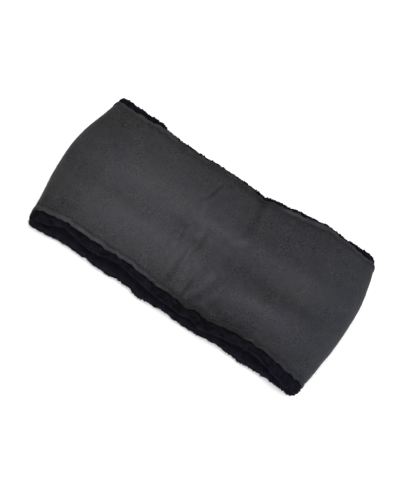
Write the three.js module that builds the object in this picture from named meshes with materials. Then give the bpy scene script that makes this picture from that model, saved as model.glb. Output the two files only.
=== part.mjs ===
import * as THREE from 'three';

// An ear warmer headband, lying flat as it comes off the head: a loop of charcoal fleece,
// lined with black plush that rolls out past both hems.
// Millimetres. +X runs along the folded band, +Y towards its far hem, +Z up.

// Driving dimensions
const foldedLength = 247;      // outside, from one fold to the other
const foldHeight = 19;         // outside, over the two layers at the folds
const foldSquareness = 2.35;   // 2 turns each fold in a half circle, more squares it
const bandWidth = 108;         // of the fleece, from hem to hem
const fleeceThickness = 1.6;
const plushThickness = 4;
const clearance = 0.3;         // between the fleece and the plush
const hemWidth = 3.6;          // from the fleece's edge to its row of stitches
const hemRise = 0.35;          // of the turned hem above the fleece
const stitchDepth = 0.45;      // of the groove that the stitches pull
const rollReach = 6;           // of the plush edge, out past the hem
const rollFlare = 1.1;         // of the roll, towards the fleece's outer face
const rollBulge = 0.3;         // of the roll, into the hollow
const loft = 2.4;              // of the two puffed lobes, above the folds
const crownHeight = 1.4;       // of the two soft ridges that run along the band
const creaseDepth = 2;         // of the deepest crease
const creaseReach = 8;         // from the middle of a wide crease to its side
const fadeReach = 3.4;         // before each fold, where the loft and the creases die away
const edgeWander = 6;          // of the hems, out of line
const endInset = 10;           // of the folds at their corners, behind their middle
const layerShift = 2.6;        // of the lower layer, out past the upper one's near hem
const seamDepth = 0.5;         // of the joining seam across the lower layer
const seamWidth = 3;

// Spacing of the sections
const coarseStep = 5.4;
const fineStep = 3;
const fineReach = 24;          // on each side of the crease across the band
const lowerSteps = 6;          // on each side of the joining seam
const turnSteps = 10;

// Worked out from the sizes above
const halfLength = foldedLength / 2;
const halfWidth = bandWidth / 2;
const turnRadius = foldHeight / 2;
const straightHalf = halfLength - turnRadius;
const plushOuter = fleeceThickness + clearance;
const plushInner = plushOuter + plushThickness;

// The upper layer along the band. along is a share of half the length, rise of the loft,
// the hems of their wander, outwards, and the rolls of their reach.
const upperRows = [
  { along: -1.00, rise: 0.00, nearHem: 0.10, farHem: 0.40, nearRoll: 1.10, farRoll: 0.95 },
  { along: -0.90, rise: 0.30, nearHem: -0.20, farHem: 0.25, nearRoll: 1.22, farRoll: 1.02 },
  { along: -0.78, rise: 0.72, nearHem: -0.47, farHem: 0.13, nearRoll: 0.57, farRoll: 0.94 },
  { along: -0.71, rise: 0.86, nearHem: -0.36, farHem: 0.23, nearRoll: 0.64, farRoll: 0.84 },
  { along: -0.65, rise: 0.92, nearHem: -0.33, farHem: 0.39, nearRoll: 0.83, farRoll: 0.62 },
  { along: -0.59, rise: 0.96, nearHem: -0.31, farHem: 0.26, nearRoll: 1.04, farRoll: 0.16 },
  { along: -0.51, rise: 1.00, nearHem: -0.30, farHem: 0.06, nearRoll: 0.96, farRoll: 0.14 },
  { along: -0.42, rise: 0.97, nearHem: -0.31, farHem: 0.01, nearRoll: 0.55, farRoll: 0.15 },
  { along: -0.34, rise: 0.93, nearHem: -0.32, farHem: -0.05, nearRoll: 0.60, farRoll: 0.16 },
  { along: -0.12, rise: 0.70, nearHem: 0.07, farHem: 0.14, nearRoll: 0.98, farRoll: 0.18 },
  { along: 0.02, rise: 0.40, nearHem: 0.12, farHem: 0.12, nearRoll: 1.10, farRoll: 0.20 },
  { along: 0.12, rise: 0.16, nearHem: 0.33, farHem: -0.22, nearRoll: 0.89, farRoll: 0.54 },
  { along: 0.18, rise: 0.11, nearHem: 0.00, farHem: -0.32, nearRoll: 1.05, farRoll: 0.72 },
  { along: 0.26, rise: 0.28, nearHem: 0.29, farHem: 0.06, nearRoll: 1.26, farRoll: 0.52 },
  { along: 0.36, rise: 0.55, nearHem: 0.02, farHem: 0.35, nearRoll: 1.18, farRoll: 0.60 },
  { along: 0.50, rise: 0.90, nearHem: -0.21, farHem: 0.77, nearRoll: 1.00, farRoll: 0.42 },
  { along: 0.62, rise: 1.00, nearHem: -0.24, farHem: 1.13, nearRoll: 0.86, farRoll: 0.28 },
  { along: 0.76, rise: 0.85, nearHem: 0.03, farHem: 0.92, nearRoll: 1.15, farRoll: 0.38 },
  { along: 0.90, rise: 0.35, nearHem: 0.47, farHem: 0.66, nearRoll: 1.39, farRoll: 0.82 },
  { along: 1.00, rise: 0.00, nearHem: 0.55, farHem: 0.46, nearRoll: 1.15, farRoll: 0.70 },
];

// The lower layer, which lies flat. Its hems keep closer to a straight line.
const lowerRows = [
  { along: -1.00, nearHem: 0.09, farHem: 0.40, nearRoll: 1.00, farRoll: 0.60 },
  { along: -0.78, nearHem: -0.34, farHem: 0.10, nearRoll: 0.98, farRoll: 0.60 },
  { along: -0.60, nearHem: -0.41, farHem: 0.06, nearRoll: 1.00, farRoll: 0.60 },
  { along: -0.44, nearHem: -0.16, farHem: 0.00, nearRoll: 1.00, farRoll: 0.60 },
  { along: -0.27, nearHem: -0.30, farHem: -0.05, nearRoll: 1.00, farRoll: 0.60 },
  { along: -0.19, nearHem: 0.08, farHem: -0.08, nearRoll: 1.03, farRoll: 0.60 },
  { along: -0.06, nearHem: -0.04, farHem: -0.10, nearRoll: 1.05, farRoll: 0.60 },
  { along: 0.14, nearHem: -0.01, farHem: 0.00, nearRoll: 1.05, farRoll: 0.60 },
  { along: 0.24, nearHem: 0.12, farHem: 0.10, nearRoll: 1.05, farRoll: 0.60 },
  { along: 0.41, nearHem: -0.23, farHem: 0.25, nearRoll: 1.05, farRoll: 0.60 },
  { along: 0.58, nearHem: 0.04, farHem: 0.40, nearRoll: 1.05, farRoll: 0.60 },
  { along: 0.75, nearHem: 0.00, farHem: 0.40, nearRoll: 1.05, farRoll: 0.60 },
  { along: 1.00, nearHem: 0.29, farHem: 0.40, nearRoll: 1.05, farRoll: 0.60 },
];

// The upper layer across the band. across is a share of half the width, crown of the
// crown's height, and leftInset and rightInset of the inset of the folds.
const acrossRows = [
  { across: -1.20, crown: -0.75, leftInset: 0.74, rightInset: 0.88 },
  { across: -1.00, crown: -0.55, leftInset: 0.68, rightInset: 0.79 },
  { across: -0.82, crown: -0.05, leftInset: 0.59, rightInset: 0.59 },
  { across: -0.62, crown: 0.60, leftInset: 0.44, rightInset: 0.42 },
  { across: -0.43, crown: 0.90, leftInset: 0.28, rightInset: 0.24 },
  { across: -0.14, crown: 0.30, leftInset: 0.14, rightInset: 0.06 },
  { across: 0.19, crown: 1.00, leftInset: 0.10, rightInset: -0.05 },
  { across: 0.48, crown: 0.45, leftInset: 0.30, rightInset: -0.05 },
  { across: 0.78, crown: -0.05, leftInset: 0.69, rightInset: 0.18 },
  { across: 1.00, crown: -0.60, leftInset: 0.93, rightInset: 0.41 },
  { across: 1.20, crown: -0.75, leftInset: 0.98, rightInset: 0.62 },
];

// The main creases in the upper layer, each a line between two points in shares of half the
// length and width. bow is how far it bends to its left, as a share of its length, depth a
// share of the crease depth, below zero for a ridge, and reach a share of the crease reach.
const creases = [
  { fromX: 0.140, fromY: 1.50, toX: 0.184, toY: 0.22, bow: 0.02, depth: 0.30, reach: 0.62 },
  { fromX: 0.120, fromY: -1.50, toX: 0.160, toY: -0.45, bow: 0.04, depth: 0.30, reach: 0.70 },
  { fromX: -0.104, fromY: 0.84, toX: -0.152, toY: 0.42, bow: 0.06, depth: 0.20, reach: 0.45 },
  { fromX: -0.225, fromY: 0.08, toX: -0.145, toY: -0.08, bow: 0.00, depth: 0.28, reach: 0.90 },
  { fromX: -0.090, fromY: -0.12, toX: 0.020, toY: -0.20, bow: 0.05, depth: 0.14, reach: 0.60 },
  { fromX: -0.078, fromY: -0.40, toX: -0.062, toY: -0.98, bow: -0.03, depth: 0.24, reach: 0.45 },
  { fromX: 0.062, fromY: -0.60, toX: 0.046, toY: -1.04, bow: -0.03, depth: 0.20, reach: 0.45 },
  { fromX: 0.132, fromY: -0.34, toX: 0.106, toY: -0.86, bow: 0.05, depth: -0.30, reach: 0.60 },
  { fromX: 0.230, fromY: -0.36, toX: 0.140, toY: -1.02, bow: 0.06, depth: -0.12, reach: 0.45 },
  { fromX: 0.100, fromY: 0.84, toX: 0.124, toY: 0.26, bow: 0.00, depth: 0.16, reach: 0.70 },
  { fromX: -0.080, fromY: 0.20, toX: 0.150, toY: 0.20, bow: 0.00, depth: -0.16, reach: 0.55 },
  { fromX: 0.240, fromY: -0.12, toX: 0.860, toY: -0.17, bow: -0.02, depth: 0.17, reach: 1.15 },
  { fromX: 0.245, fromY: -0.54, toX: 0.700, toY: -0.50, bow: 0.04, depth: -0.20, reach: 0.90 },
  { fromX: 0.220, fromY: -0.90, toX: 0.560, toY: -0.88, bow: 0.03, depth: 0.24, reach: 0.70 },
  { fromX: -0.440, fromY: -0.38, toX: -0.200, toY: -0.38, bow: 0.04, depth: -0.16, reach: 0.95 },
];

// The fleece's edge in section: in is a share of the hem's width, measured inwards from the
// edge, and rise, stitch and wall are shares of the hem's rise, the stitch depth and the
// fleece's thickness, which add up to the depth.
const fleeceEdge = [
  { in: 0.08, rise: 0.0, stitch: 0.0, wall: 1.0 },
  { in: 0.00, rise: 0.0, stitch: 0.0, wall: 0.5 },
  { in: 0.12, rise: 0.4, stitch: 0.0, wall: 0.1 },
  { in: 0.36, rise: 1.0, stitch: 0.0, wall: 0.0 },
  { in: 0.68, rise: 0.9, stitch: 0.0, wall: 0.0 },
  { in: 0.90, rise: 0.2, stitch: 0.5, wall: 0.0 },
  { in: 1.03, rise: 0.0, stitch: 1.0, wall: 0.0 },
  { in: 1.24, rise: 0.0, stitch: 0.4, wall: 0.0 },
  { in: 1.60, rise: 0.0, stitch: 0.0, wall: 0.0 },
];

// The plush roll in section, from the fleece round to the hollow: out is a share of its
// reach past the clearance, and through of its thickness from outer to inner face.
const plushRoll = [
  { out: 0.00, through: 0.20 },
  { out: 0.10, through: 0.06 },
  { out: 0.38, through: 0.00 },
  { out: 0.72, through: 0.10 },
  { out: 0.95, through: 0.33 },
  { out: 1.00, through: 0.56 },
  { out: 0.88, through: 0.82 },
  { out: 0.58, through: 0.98 },
  { out: 0.20, through: 1.00 },
];

// Places across the band where its two faces bend, as shares of the width
const outerShares = [0.09, 0.20, 0.32, 0.44, 0.56, 0.68, 0.80, 0.91];
const innerShares = [0.06, 0.18, 0.32, 0.44, 0.56, 0.68, 0.82, 0.94];

function curveThrough(rows, at, column) {
  const places = rows.map((row) => row[at]);
  const spline = new THREE.CubicInterpolant(places, rows.map((row) => row[column]), 1);
  const first = places[0];
  const last = places[places.length - 1];
  return (place) => spline.evaluate(THREE.MathUtils.clamp(place, first, last))[0];
}

const riseAlong = curveThrough(upperRows, 'along', 'rise');
const crownAcross = curveThrough(acrossRows, 'across', 'crown');
const leftInset = curveThrough(acrossRows, 'across', 'leftInset');
const rightInset = curveThrough(acrossRows, 'across', 'rightInset');

// Each edge value blends from the lower layer's row to the upper layer's round the folds.
function edgeCurve(column) {
  const lower = curveThrough(lowerRows, 'along', column);
  const upper = curveThrough(upperRows, 'along', column);
  return (station) => THREE.MathUtils.lerp(
    lower(station.x / halfLength),
    upper(station.x / halfLength),
    station.top,
  );
}

const nearWander = edgeCurve('nearHem');
const farWander = edgeCurve('farHem');
const nearReach = edgeCurve('nearRoll');
const farReach = edgeCurve('farRoll');

// How deep the creases press the upper layer at a place. A crease is deepest along its bowed
// line, falls off to an eighth at its reach, and fades out towards its ends.
function creaseAt(x, y) {
  const place = new THREE.Vector2(x, y);
  let depth = 0;
  for (const crease of creases) {
    const from = new THREE.Vector2(crease.fromX * halfLength, crease.fromY * halfWidth);
    const span = new THREE.Vector2(crease.toX * halfLength, crease.toY * halfWidth).sub(from);
    const length = span.length();
    const direction = span.normalize();
    const offset = place.clone().sub(from);
    const ahead = offset.dot(direction);
    const aside = direction.cross(offset);
    const share = THREE.MathUtils.clamp(ahead / length, 0, 1);
    const bowed = crease.bow * length * 4 * share * (1 - share);
    const away = Math.hypot(ahead - share * length, aside - bowed) / (crease.reach * creaseReach);
    const fading = 1 - (2 * share - 1) ** 4;
    depth += crease.depth * creaseDepth * fading * Math.exp(-2 * away * away);
  }
  return depth;
}

// A station is one section of the loop: a place on the fleece's outer face, the way out of
// it, and top, which is 0 on the lower layer and 1 on the upper one.
function stationAt(x, z, outX, outZ, seam = 0) {
  const top = THREE.MathUtils.smoothstep(z, 0, foldHeight);
  return { x, z, outX, outZ, top, seam };
}

function lowerStations() {
  const stations = [];
  const halfSeam = seamWidth / 2;
  for (let step = 0; step <= lowerSteps; step += 1) {
    stations.push(stationAt(THREE.MathUtils.lerp(-straightHalf, -halfSeam, step / lowerSteps), 0, 0, -1));
  }
  stations.push(stationAt(0, 0, 0, -1, 1));
  for (let step = 0; step < lowerSteps; step += 1) {
    stations.push(stationAt(THREE.MathUtils.lerp(halfSeam, straightHalf, step / lowerSteps), 0, 0, -1));
  }
  return stations;
}

// The sections of the upper layer stand closer together at the crease across the band.
function upperStations() {
  const crease = ((creases[0].fromX + creases[1].fromX) / 2) * halfLength;
  const places = [straightHalf];
  let x = straightHalf;
  while (x > -straightHalf) {
    const away = Math.abs(x - crease) / fineReach;
    x -= THREE.MathUtils.lerp(fineStep, coarseStep, THREE.MathUtils.smoothstep(away, 0, 1));
    places.push(x);
  }
  const stretch = (2 * straightHalf) / (straightHalf - x);
  const fitted = places.map((place) => straightHalf - (straightHalf - place) * stretch);
  return fitted.slice(0, -1).map((place) => stationAt(place, foldHeight, 0, 1));
}

// A fold turns in a half superellipse, so that it is fuller than a half circle.
function turnStations(side) {
  const stations = [];
  const start = side > 0 ? -Math.PI / 2 : Math.PI / 2;
  const squared = (value, power) => Math.sign(value) * Math.abs(value) ** power;
  for (let step = 0; step < turnSteps; step += 1) {
    const angle = start + (Math.PI * step) / turnSteps;
    const x = squared(Math.cos(angle), 2 / foldSquareness);
    const z = squared(Math.sin(angle), 2 / foldSquareness);
    const out = new THREE.Vector2(squared(x, foldSquareness - 1), squared(z, foldSquareness - 1));
    out.normalize();
    stations.push(stationAt(side * straightHalf + turnRadius * x, turnRadius * (1 + z), out.x, out.y));
  }
  return stations;
}

const stations = [
  ...lowerStations(),
  ...turnStations(1),
  ...upperStations(),
  ...turnStations(-1),
];

function hemsAt(station) {
  const shift = layerShift * (1 - station.top);
  return {
    near: -halfWidth - shift - edgeWander * nearWander(station),
    far: halfWidth - shift + edgeWander * farWander(station),
  };
}

// Puts a point of the section at its place: depth is measured inwards from the fleece's
// outer face. The folds curve in towards their corners.
function place(station, y, depth) {
  const across = y / halfWidth;
  const inset = endInset * (station.x < 0 ? leftInset(across) : rightInset(across));
  const x = (station.x - station.outX * depth) * (1 - inset / halfLength);
  const lift = loft * riseAlong(station.x / halfLength) + crownHeight * crownAcross(across);
  const pressed = creaseAt(station.x, y);
  const z = station.z - station.outZ * depth + station.top * endFade(station) * (lift - pressed);
  return new THREE.Vector3(x, y, z);
}

// The lift and the creases die away where the band turns down into its folds.
function endFade(station) {
  return 1 - THREE.MathUtils.smoothstep(Math.abs(station.x), straightHalf - fadeReach, halfLength);
}

function fleeceSection(station) {
  const hems = hemsAt(station);
  const width = hems.far - hems.near;
  const seam = seamDepth * station.seam;
  const edge = fleeceEdge.map((row) => ({
    in: row.in * hemWidth,
    depth: row.wall * fleeceThickness + row.stitch * stitchDepth - row.rise * hemRise * station.top,
  }));
  const points = edge.map((row) => [hems.near + row.in, row.depth]);
  for (const share of outerShares) {
    points.push([hems.near + share * width, seam]);
  }
  for (const row of [...edge].reverse()) {
    points.push([hems.far - row.in, row.depth]);
  }
  for (const share of [...innerShares].reverse()) {
    points.push([hems.near + share * width, fleeceThickness + seam]);
  }
  return points;
}

function plushSection(station) {
  const hems = hemsAt(station);
  const width = hems.far - hems.near;
  const seam = seamDepth * station.seam;
  const top = plushOuter - rollFlare;
  const bottom = plushInner + rollBulge;
  const rollPoints = (hem, outwards, reach) => plushRoll.map((row) => [
    hem + outwards * (clearance + row.out * (reach - clearance)),
    THREE.MathUtils.lerp(top, bottom, row.through),
  ]);
  const near = rollPoints(hems.near, -1, rollReach * nearReach(station));
  const far = rollPoints(hems.far, 1, rollReach * farReach(station));
  const points = near.reverse();
  for (const share of innerShares) {
    points.push([hems.near + share * width, plushOuter + seam]);
  }
  points.push(...far);
  for (const share of [...innerShares].reverse()) {
    points.push([hems.near + share * width, plushInner]);
  }
  return points;
}

// Joins the section of each station to the next, all the way round the loop. Each square is
// cut from its nearer side to its farther one, so that faces that lie on each other match.
function loopSolid(section) {
  const rings = stations.map((station) => section(station)
    .map(([y, depth]) => place(station, y, depth)));
  const count = rings[0].length;
  const positions = rings.flat().flatMap((point) => [point.x, point.y, point.z]);
  const triangles = [];
  for (let ring = 0; ring < rings.length; ring += 1) {
    const next = (ring + 1) % rings.length;
    for (let point = 0; point < count; point += 1) {
      const after = (point + 1) % count;
      const here = ring * count + point;
      const beside = ring * count + after;
      const ahead = next * count + point;
      const opposite = next * count + after;
      if (rings[ring][after].y >= rings[ring][point].y) {
        triangles.push(here, beside, opposite, here, opposite, ahead);
      } else {
        triangles.push(here, beside, ahead, beside, opposite, ahead);
      }
    }
  }
  const geometry = new THREE.BufferGeometry();
  geometry.setAttribute('position', new THREE.Float32BufferAttribute(positions, 3));
  geometry.setIndex(triangles);
  geometry.computeVertexNormals();
  return geometry;
}

const fleece = new THREE.MeshStandardMaterial({ color: 0x3e3f42, roughness: 0.95, metalness: 0 });
const plush = new THREE.MeshStandardMaterial({ color: 0x16141c, roughness: 0.9, metalness: 0 });

function outerShell() {
  const mesh = new THREE.Mesh(loopSolid(fleeceSection), fleece);
  mesh.name = 'outer_shell';
  return mesh;
}

function plushLining() {
  const mesh = new THREE.Mesh(loopSolid(plushSection), plush);
  mesh.name = 'plush_lining';
  return mesh;
}

const headband = new THREE.Group();
headband.add(outerShell(), plushLining());

// The origin is at the middle of the headband's underside.
const bounds = new THREE.Box3().setFromObject(headband);
headband.position.set(
  -(bounds.min.x + bounds.max.x) / 2,
  -(bounds.min.y + bounds.max.y) / 2,
  -bounds.min.z,
);
headband.updateMatrixWorld(true);

export default headband;
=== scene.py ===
import math

import bmesh
import bpy
import numpy as np
from mathutils import Matrix, Vector, noise


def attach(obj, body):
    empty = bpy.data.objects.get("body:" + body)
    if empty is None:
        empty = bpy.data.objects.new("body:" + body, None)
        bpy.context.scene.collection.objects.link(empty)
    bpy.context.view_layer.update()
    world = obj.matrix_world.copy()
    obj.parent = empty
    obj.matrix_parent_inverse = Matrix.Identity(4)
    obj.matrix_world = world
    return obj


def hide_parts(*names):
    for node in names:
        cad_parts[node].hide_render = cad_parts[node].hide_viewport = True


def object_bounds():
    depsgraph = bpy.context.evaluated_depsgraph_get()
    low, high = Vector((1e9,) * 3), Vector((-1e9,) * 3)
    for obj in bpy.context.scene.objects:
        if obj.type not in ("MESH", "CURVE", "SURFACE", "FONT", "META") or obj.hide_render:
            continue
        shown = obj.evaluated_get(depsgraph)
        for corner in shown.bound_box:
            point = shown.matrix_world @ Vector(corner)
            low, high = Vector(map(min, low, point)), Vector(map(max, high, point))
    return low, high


# An ear warmer headband of charcoal fleece, lined with black plush, lying flat.
# Metres. +X runs along the folded band, +Y towards its far hem, +Z up.

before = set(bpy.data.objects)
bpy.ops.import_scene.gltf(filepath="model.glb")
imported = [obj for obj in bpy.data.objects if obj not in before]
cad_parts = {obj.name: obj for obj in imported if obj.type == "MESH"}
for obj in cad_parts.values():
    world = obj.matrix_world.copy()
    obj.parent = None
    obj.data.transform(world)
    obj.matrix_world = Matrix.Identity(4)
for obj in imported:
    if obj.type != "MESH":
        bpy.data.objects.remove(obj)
cad_low, cad_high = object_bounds()
bpy.ops.object.select_all(action="DESELECT")

MM = 0.001

# Sizes of the sewn band
FOLDED_LENGTH = 247 * MM
FOLD_HEIGHT = 19 * MM
FOLD_SQUARENESS = 2.35
BAND_WIDTH = 108 * MM
FLEECE_THICKNESS = 1.6 * MM
PLUSH_THICKNESS = 4 * MM
CLEARANCE = 0.3 * MM
HEM_WIDTH = 3.6 * MM
HEM_RISE = 0.45 * MM
STITCH_DEPTH = 0.7 * MM
ROLL_REACH = 6 * MM
ROLL_FLARE = 1.1 * MM
ROLL_BULGE = 0.3 * MM
LOFT = 2.4 * MM
CROWN_HEIGHT = 1.4 * MM
CREASE_DEPTH = 2 * MM
CREASE_REACH = 8 * MM
FADE_REACH = 3.4 * MM
EDGE_WANDER = 6 * MM
END_INSET = 10 * MM
LAYER_SHIFT = 2.6 * MM
SEAM_DEPTH = 0.5 * MM
SEAM_WIDTH = 3 * MM

# Sizes of the cloth's own detail
STITCH_PITCH = 2.4 * MM
STITCH_LENGTH = 1.7 * MM
THREAD_RADIUS = 0.17 * MM
PUCKER_PITCH = 7.5 * MM
PUCKER_DEPTH = 0.3 * MM
PUCKER_REACH = 8 * MM
RIPPLE_PITCH = 4.5 * MM
RIPPLE_DEPTH = 1.1 * MM
SAG_SPACING = 24 * MM
SAG_DEPTH = 0.4 * MM
PILE_SPACING = 2 * MM
PILE_DEPTH = 0.1 * MM
FIBRE_LENGTH = 1.1 * MM
FIBRE_RADIUS = 0.035 * MM
FIBRE_COUNT = 30000
WAVE_SPACING = 6 * MM
WAVE_HEIGHT = 0.6 * MM
BULGE_SPACING = 15 * MM
NOTCH_DEPTH = 0.5 * MM
NOTCH_WIDTH = 0.16
TUFT_SPACING = 3.2 * MM
TUFT_HEIGHT = 0.85 * MM
LOCK_LENGTH = 1.5 * MM
LOCK_RADIUS = 0.4 * MM
LOCK_COUNT = 6500

# How the single strands vary: how upright they stand, from 0, any way, to 1, straight out of
# the cloth, the least and most of their length and girth, and how far their nap strays
FIBRE_UPRIGHT = 0.58
FIBRE_LENGTHS = (0.5, 1.0)
FIBRE_NAP_SPREAD = 0.5
LOCK_UPRIGHT = 0.57
LOCK_LENGTHS = (0.6, 1.0)
LOCK_GIRTHS = (0.7, 1.2)
LOCK_NAP_SPREAD = 0.08

# Spacings of the patterns in the materials. A single fibre, about 0.02 mm, is too fine to show,
# so the fibre patterns are as coarse as the small tangles that fibres gather in. The thread's
# is the pitch of its twist.
FLEECE_FIBRE = 1.1 * MM
PLUSH_FIBRE = 0.9 * MM
THREAD_PLY = 0.4 * MM
TANGLE_PATCHES = 13 * MM
HUE_PATCHES = 15 * MM

# The seed of each pattern and scatter, so that every run gives the same band
PUCKER_SEED = 1
SAG_SEED = 2
PILE_SEED = 3
FINE_TUFT_SEED = 4
WAVE_SEED = 5
BULGE_SEED = 6
WANDER_SEEDS = (7, 8)
CLUMP_SEED = 9
RIPPLE_SEEDS = (21, 22)
HEM_PATCH_SEED = 23
TUFT_SEED = 1
TANGLE_SEED = 3
HUE_SEED = 8
FIBRE_SEED = 11
LOCK_SEED = 5

# Colours of the pile, from its deepest painted shade to fully lit
FLEECE_SHADED = "#151517"
FLEECE_LIT = "#38373c"
PLUSH_SHADED = "#040405"
PLUSH_LIT = "#1b1a25"

# How the colours of the fleece and the plush drift along the band: the place from its left end
# to its right one, and the colour that their own is multiplied by
DRIFT_ROWS = (
    (0.00, "#fffff1"),
    (0.12, "#fffff8"),
    (0.50, "#fffffa"),
    (0.62, "#ffffff"),
    (0.85, "#ffffff"),
    (0.90, "#f5ffff"),
)
PLUSH_DRIFT_ROWS = ((0.0, "#ffffef"), (0.76, "#ffffef"), (0.85, "#ffffff"))

# Soft patches in which the fleece's mixed dyes show warmer or cooler: the place in the
# patches' noise, and the colour that its own is multiplied by
HUE_ROWS = ((0.36, "#fffff8"), (0.46, "#ffffff"), (0.54, "#ffffff"), (0.64, "#fafbff"))

# Light and shade painted into the fleece's colour, following its form: painted light on the sides
# that lean towards the near right and on the crowns, and painted shade in creases and grooves.
# The value runs from its lowest, the deepest painted shade, to 1, fully lit.
DEEPEST_PAINTED_SHADE = -0.4
PAINTED_LIGHT_TOWARDS = (0.25, -0.8, 0)
LEAN_PAINTED_LIGHT = 1.6
MOST_LEAN = 0.15
CROWN_PAINTED_LIGHT = 0.35
CROWN_MIDDLE = 0.6
CREASE_PAINTED_SHADE = 1.0
GROOVE_PAINTED_SHADE = 0.24
HEM_PATCHES = 9 * MM
HEM_PATCH_NAP = 0.4
LOWER_NAP = 0.35

# Painted light and shade on the plush: its level on the rolls, a painted highlight on the upper
# layer's rims, painted shade on the lower layer's, which lie in the shade, and painted light in
# the hollow. Then how strongly painted light on the tufts, painted shade between them and random
# clumps change it on the rolls, and the most that they may darken it.
ROLL_NAP = 0.3
RIM_PAINTED_HIGHLIGHT = 0.37
RIM_PAINTED_SHADE = 0.17
HOLLOW_PAINTED_LIGHT = 0.5
TUFT_PAINTED_LIGHT = 0.32
CLUMP_SPACING = 5 * MM
CLUMP_NAP = 0.34
DARKEST_CLUMP = -0.13

HALF_LENGTH = FOLDED_LENGTH / 2
HALF_WIDTH = BAND_WIDTH / 2
TURN_RADIUS = FOLD_HEIGHT / 2
STRAIGHT_HALF = HALF_LENGTH - TURN_RADIUS
PLUSH_OUTER = FLEECE_THICKNESS + CLEARANCE
PLUSH_INNER = PLUSH_OUTER + PLUSH_THICKNESS

# Sections round the loop, how many times closer they stand on the upper layer, and the fine
# samples that they are chosen from, along each straight and round each turn
FLEECE_STEPS = 620
PLUSH_STEPS = 640
UPPER_CLOSENESS = 2
STRAIGHT_SAMPLES = 4000
TURN_SAMPLES = 2000

# The upper layer along the band: its place as a share of half the length, the rise as a
# share of the loft, the hems of their wander, outwards, and the rolls of their reach.
UPPER_COLUMNS = ("along", "rise", "near_hem", "far_hem", "near_roll", "far_roll")
UPPER_ROWS = (
    (-1.00, 0.00, 0.10, 0.40, 1.10, 0.95),
    (-0.90, 0.30, -0.20, 0.25, 1.22, 1.02),
    (-0.78, 0.72, -0.47, 0.13, 0.57, 0.94),
    (-0.71, 0.86, -0.36, 0.23, 0.64, 0.84),
    (-0.65, 0.92, -0.33, 0.39, 0.83, 0.62),
    (-0.59, 0.96, -0.31, 0.26, 1.04, 0.16),
    (-0.51, 1.00, -0.30, 0.06, 0.96, 0.14),
    (-0.42, 0.97, -0.31, 0.01, 0.55, 0.15),
    (-0.34, 0.93, -0.32, -0.05, 0.60, 0.16),
    (-0.12, 0.70, 0.07, 0.14, 0.98, 0.18),
    (0.02, 0.40, 0.12, 0.12, 1.10, 0.20),
    (0.12, 0.16, 0.33, -0.22, 0.89, 0.54),
    (0.18, 0.11, 0.00, -0.32, 1.05, 0.72),
    (0.26, 0.28, 0.29, 0.06, 1.26, 0.52),
    (0.36, 0.55, 0.02, 0.35, 1.18, 0.60),
    (0.50, 0.90, -0.21, 0.77, 1.00, 0.42),
    (0.62, 1.00, -0.24, 1.13, 0.86, 0.28),
    (0.76, 0.85, 0.03, 0.92, 1.15, 0.38),
    (0.90, 0.35, 0.47, 0.66, 1.39, 0.82),
    (1.00, 0.00, 0.55, 0.46, 1.15, 0.70),
)

# The lower layer, which lies flat
LOWER_COLUMNS = ("along", "near_hem", "far_hem", "near_roll", "far_roll")
LOWER_ROWS = (
    (-1.00, 0.09, 0.40, 1.00, 0.60),
    (-0.78, -0.34, 0.10, 0.98, 0.60),
    (-0.60, -0.41, 0.06, 1.00, 0.60),
    (-0.44, -0.16, 0.00, 1.00, 0.60),
    (-0.27, -0.30, -0.05, 1.00, 0.60),
    (-0.19, 0.08, -0.08, 1.03, 0.60),
    (-0.06, -0.04, -0.10, 1.05, 0.60),
    (0.14, -0.01, 0.00, 1.05, 0.60),
    (0.24, 0.12, 0.10, 1.05, 0.60),
    (0.41, -0.23, 0.25, 1.05, 0.60),
    (0.58, 0.04, 0.40, 1.05, 0.60),
    (0.75, 0.00, 0.40, 1.05, 0.60),
    (1.00, 0.29, 0.40, 1.05, 0.60),
)

# The upper layer across the band: its place as a share of half the width, the crown of the
# crown's height, and the insets of the folds' inset.
ACROSS_COLUMNS = ("across", "crown", "left_inset", "right_inset")
ACROSS_ROWS = (
    (-1.20, -0.75, 0.74, 0.88),
    (-1.00, -0.55, 0.68, 0.79),
    (-0.82, -0.05, 0.59, 0.59),
    (-0.62, 0.60, 0.44, 0.42),
    (-0.43, 0.90, 0.28, 0.24),
    (-0.14, 0.30, 0.14, 0.06),
    (0.19, 1.00, 0.10, -0.05),
    (0.48, 0.45, 0.30, -0.05),
    (0.78, -0.05, 0.69, 0.18),
    (1.00, -0.60, 0.93, 0.41),
    (1.20, -0.75, 0.98, 0.62),
)

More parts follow.
